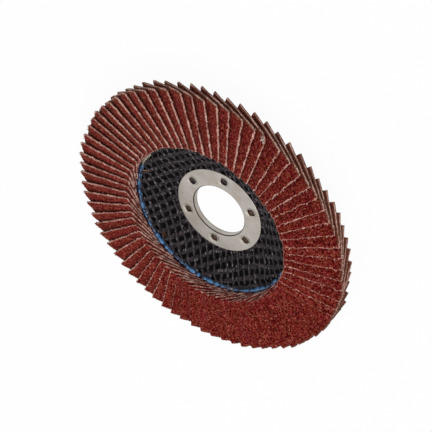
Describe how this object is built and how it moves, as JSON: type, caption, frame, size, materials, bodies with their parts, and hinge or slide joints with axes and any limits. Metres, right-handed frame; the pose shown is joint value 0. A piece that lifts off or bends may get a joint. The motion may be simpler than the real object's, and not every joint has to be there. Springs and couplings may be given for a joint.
{
  "type": "flap disc",
  "caption": "Abrasive flap disc: overlapping cloth flaps glued in a ring on a dished glass-fibre plate with a pressed steel bore ring, for an angle grinder.",
  "frame": {"origin": "on the bore axis, at the back face of the steel ring", "axes": "+Z along the bore axis, out of the abrasive side; +X along the long axis of the disc's outline in the picture, to its lower right"},
  "size_m": [0.1152, 0.1153, 0.014],
  "materials": {
    "steel": "satin",
    "resin_fibre": "satin",
    "scrim": "satin",
    "adhesive": "gloss",
    "abrasive_cloth": "matte"
  },
  "bodies": {
    "root": {"steel_ring": "steel", "backing_plate": "resin_fibre", "glass_scrim": "scrim", "adhesive": "adhesive", "flap_pair_01": "abrasive_cloth", "flap_pair_02": "abrasive_cloth", "flap_pair_03": "abrasive_cloth", "flap_pair_04": "abrasive_cloth", "flap_pair_05": "abrasive_cloth", "flap_pair_06": "abrasive_cloth", "flap_pair_07": "abrasive_cloth", "flap_pair_08": "abrasive_cloth", "flap_pair_09": "abrasive_cloth", "flap_pair_10": "abrasive_cloth", "flap_pair_11": "abrasive_cloth", "flap_pair_12": "abrasive_cloth", "flap_pair_13": "abrasive_cloth", "flap_pair_14": "abrasive_cloth", "flap_pair_15": "abrasive_cloth", "flap_pair_16": "abrasive_cloth", "flap_pair_17": "abrasive_cloth", "flap_pair_18": "abrasive_cloth", "flap_pair_19": "abrasive_cloth", "flap_pair_20": "abrasive_cloth", "flap_pair_21": "abrasive_cloth", "flap_pair_22": "abrasive_cloth", "flap_pair_23": "abrasive_cloth", "flap_pair_24": "abrasive_cloth", "flap_pair_25": "abrasive_cloth", "flap_pair_26": "abrasive_cloth", "flap_pair_27": "abrasive_cloth", "flap_pair_28": "abrasive_cloth", "flap_pair_29": "abrasive_cloth", "flap_pair_30": "abrasive_cloth", "flap_pair_31": "abrasive_cloth", "flap_pair_32": "abrasive_cloth", "flap_pair_33": "abrasive_cloth", "flap_pair_34": "abrasive_cloth", "flap_pair_35": "abrasive_cloth", "flap_pair_36": "abrasive_cloth"}
  },
  "joints": []
}
